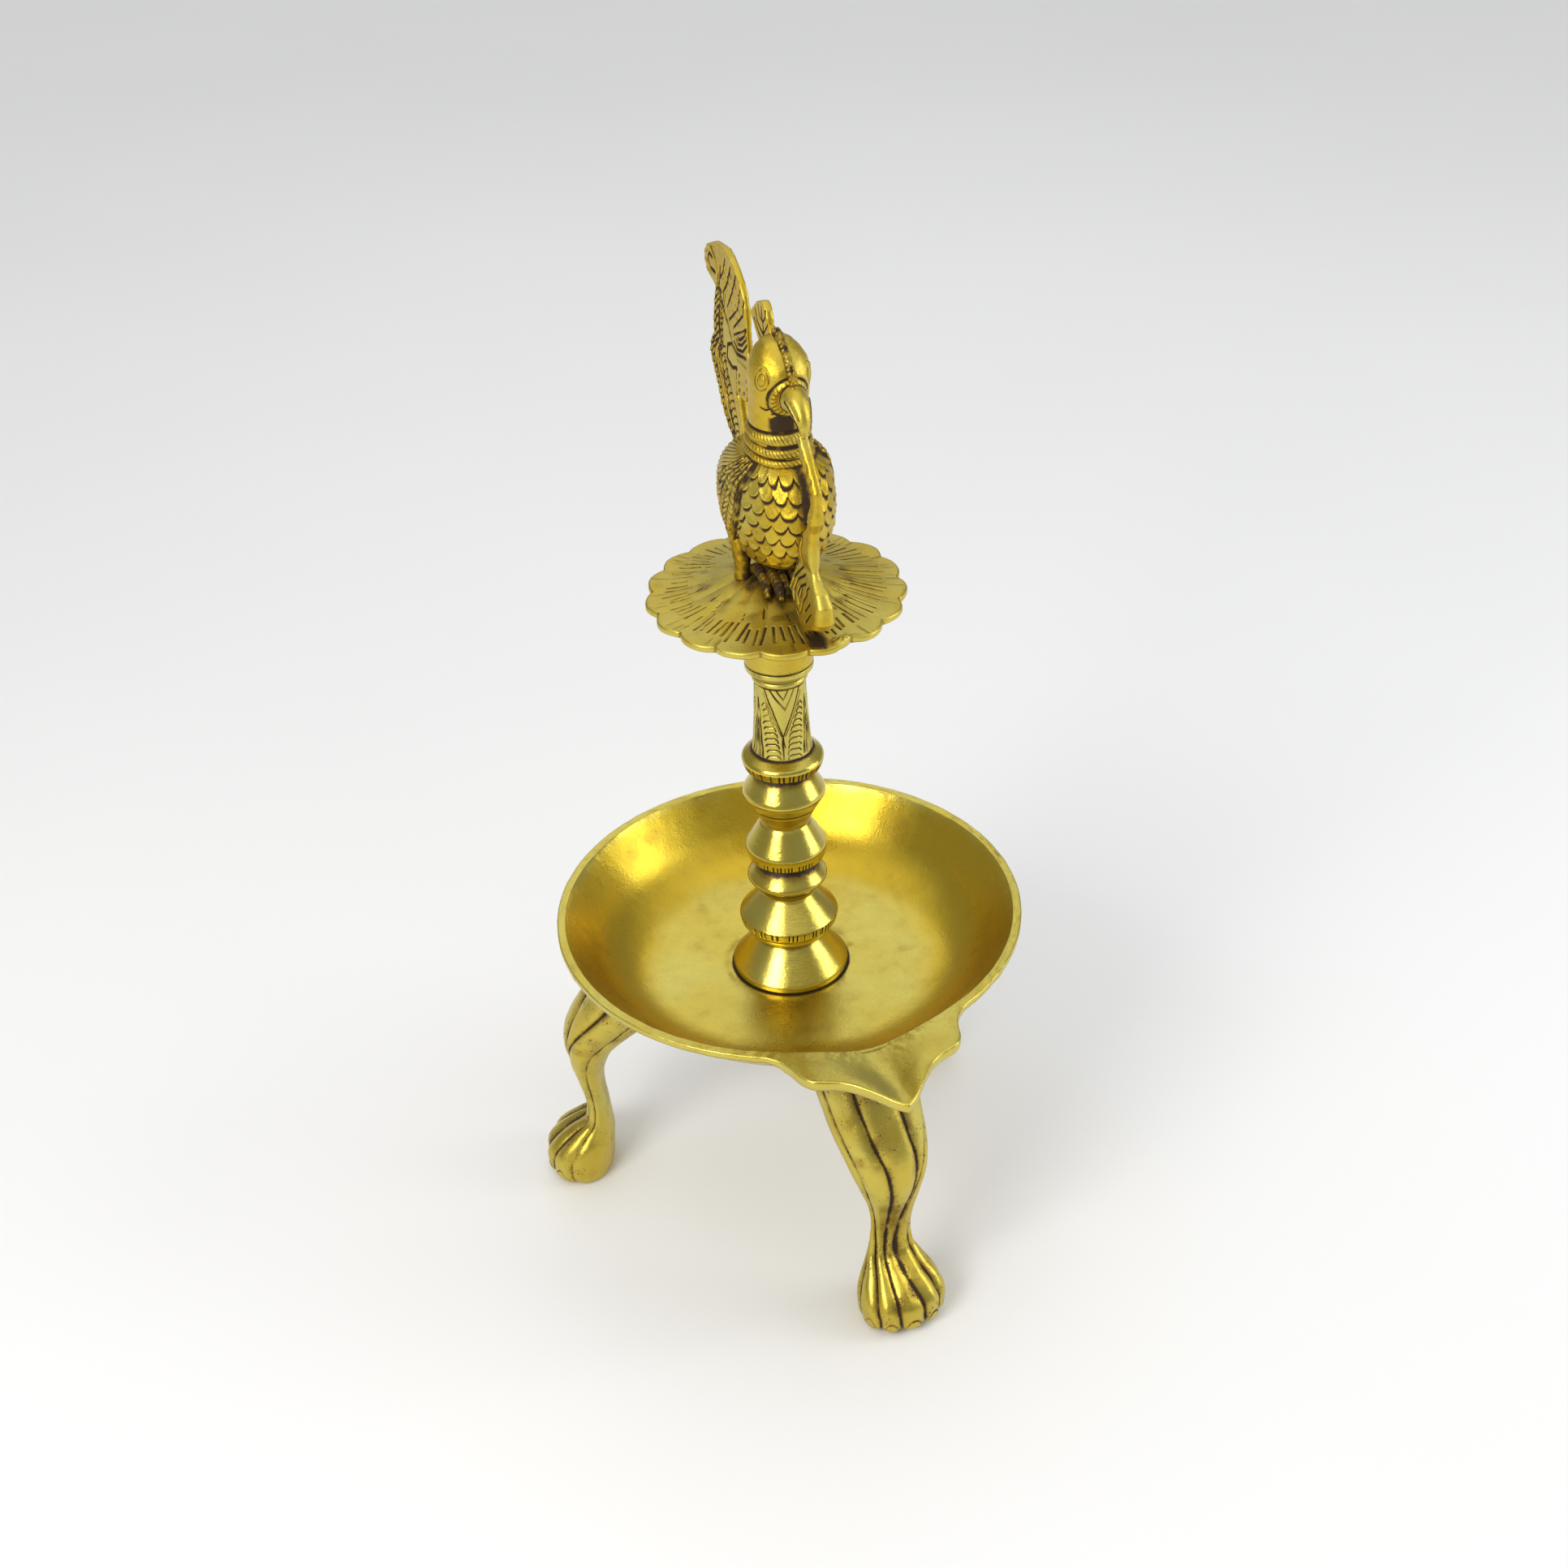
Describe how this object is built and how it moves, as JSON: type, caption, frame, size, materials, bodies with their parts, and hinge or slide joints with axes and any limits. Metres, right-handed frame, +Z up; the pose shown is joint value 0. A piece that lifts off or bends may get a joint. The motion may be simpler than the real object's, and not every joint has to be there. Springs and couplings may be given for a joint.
{
  "type": "standing oil lamp",
  "caption": "Standing brass oil lamp: a spouted bowl on paw legs, a turned stem, a scalloped plate and a peacock finial that unscrews for cleaning.",
  "frame": {"origin": "centre of the lamp's footprint box, on the floor; the lamp's own axis stands 3.9 mm to +X and 13.4 mm to +Y of it, because the spout and one leg reach out further", "axes": "+Z up along the stem; the spout and the peacock face -Y; +X is to the peacock's left"},
  "size_m": [0.1608, 0.1768, 0.3252],
  "materials": {
    "bowl_brass": "hand-dressed satin, golden inside, with small pits",
    "leg_brass": "satin cast brass, dark patina in the grooves and pits",
    "turned_brass": "lathe-turned and polished, dark at the seams",
    "engraved_brass": "satin, hand-engraved",
    "plate_brass": "satin with dark chisel strokes",
    "peacock_brass": "satin cast brass with dark chased lines",
    "hidden_brass": "dull, unpolished"
  },
  "bodies": {
    "stand": {"bowl": "bowl_brass", "leg_front": "leg_brass", "leg_right": "leg_brass", "leg_left": "leg_brass", "leg_rivets": "bowl_brass"},
    "stem": {"tie_rod": "hidden_brass", "stem_base": "turned_brass", "stem_middle": "turned_brass", "knurled_ring": "turned_brass", "engraved_sleeve": "engraved_brass"},
    "stud": {"finial_stud": "hidden_brass"},
    "finial": {"plate_collar": "turned_brass", "scalloped_plate": "plate_brass", "peacock_body": "peacock_brass", "peacock_tail": "peacock_brass", "peacock_crest": "peacock_brass", "beak_vine": "peacock_brass"},
    "washer": {"base_washer": "hidden_brass"},
    "nut": {"base_nut": "hidden_brass"}
  },
  "joints": [
    {"name": "stem_lift", "type": "slide", "parent": "stand", "child": "stem", "axis": [0, 0, 1], "range_m": [0, 0.045]},
    {"name": "finial_lift", "type": "slide", "parent": "stem", "child": "stud", "axis": [0, 0, 1], "range_m": [0, 0.0091]},
    {"name": "finial_turn", "type": "hinge", "parent": "stud", "child": "finial", "pos_m": [0.00385, 0.0134, 0.2206], "axis": [0, 0, 1], "range_deg": [0, 3240]},
    {"name": "nut_drop", "type": "slide", "parent": "stand", "child": "washer", "axis": [0, 0, -1], "range_m": [0, 0.0081]},
    {"name": "nut_turn", "type": "hinge", "parent": "washer", "child": "nut", "pos_m": [0.00385, 0.0134, 0.085], "axis": [0, 0, -1], "range_deg": [0, 2880]}
  ],
  "couplings": [
    {"joint": "finial_lift", "follows": "finial_turn", "m_per_rad": 0.00015915},
    {"joint": "nut_drop", "follows": "nut_turn", "m_per_rad": 0.00015915}
  ]
}
